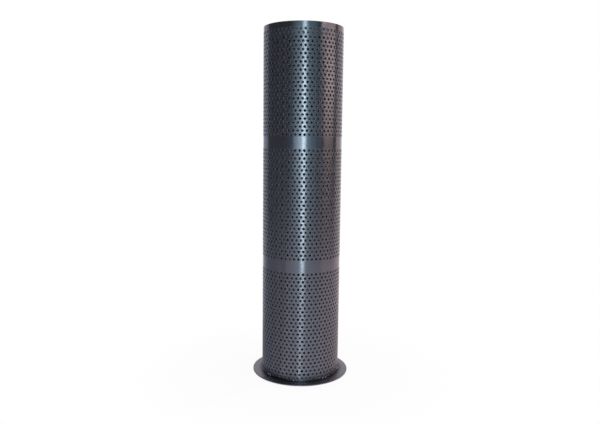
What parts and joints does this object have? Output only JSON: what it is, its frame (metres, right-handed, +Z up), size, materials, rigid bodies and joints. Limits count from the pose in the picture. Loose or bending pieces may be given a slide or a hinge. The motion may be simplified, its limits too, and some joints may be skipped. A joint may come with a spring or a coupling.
{
  "type": "dust collector filter cartridge",
  "caption": "Tall flanged dust filter cartridge: punched steel shell with plain bands round a folded medium and a punched core, closed at the top, outlet collar in the flange below.",
  "frame": {"origin": "on the axis, at the underside of the gasket, where the cartridge stands", "axes": "+Z up the axis from the outlet flange to the closed end, -Y towards the viewer of the picture, the shell's seam at +Y"},
  "size_m": [0.183, 0.183, 0.653],
  "materials": {
    "shell_sheet": "bright rolled sheet, semi-gloss, with punched round holes",
    "weld_metal": "as welded, satin",
    "flange_sheet": "smooth plated sheet, satin",
    "cap_sheet": "pressed plated sheet, satin",
    "core_sheet": "punched plated sheet, satin",
    "clip_sheet": "thin folded sheet",
    "filter_medium": "dark grey pleated filter felt, matte",
    "potting_compound": "cast compound, dull",
    "sponge_rubber": "closed-cell sponge rubber, matte"
  },
  "bodies": {
    "root": {"bottom_potting": "potting_compound", "cap_tack_welds": "weld_metal", "flange_gasket": "sponge_rubber", "flange_plate": "flange_sheet", "inner_core": "core_sheet", "media_seam_clip": "clip_sheet", "outer_shell": "shell_sheet", "pleated_media": "filter_medium", "shell_seam_weld": "weld_metal", "shell_tack_welds": "weld_metal", "top_end_cap": "cap_sheet", "top_potting": "potting_compound"}
  },
  "joints": []
}
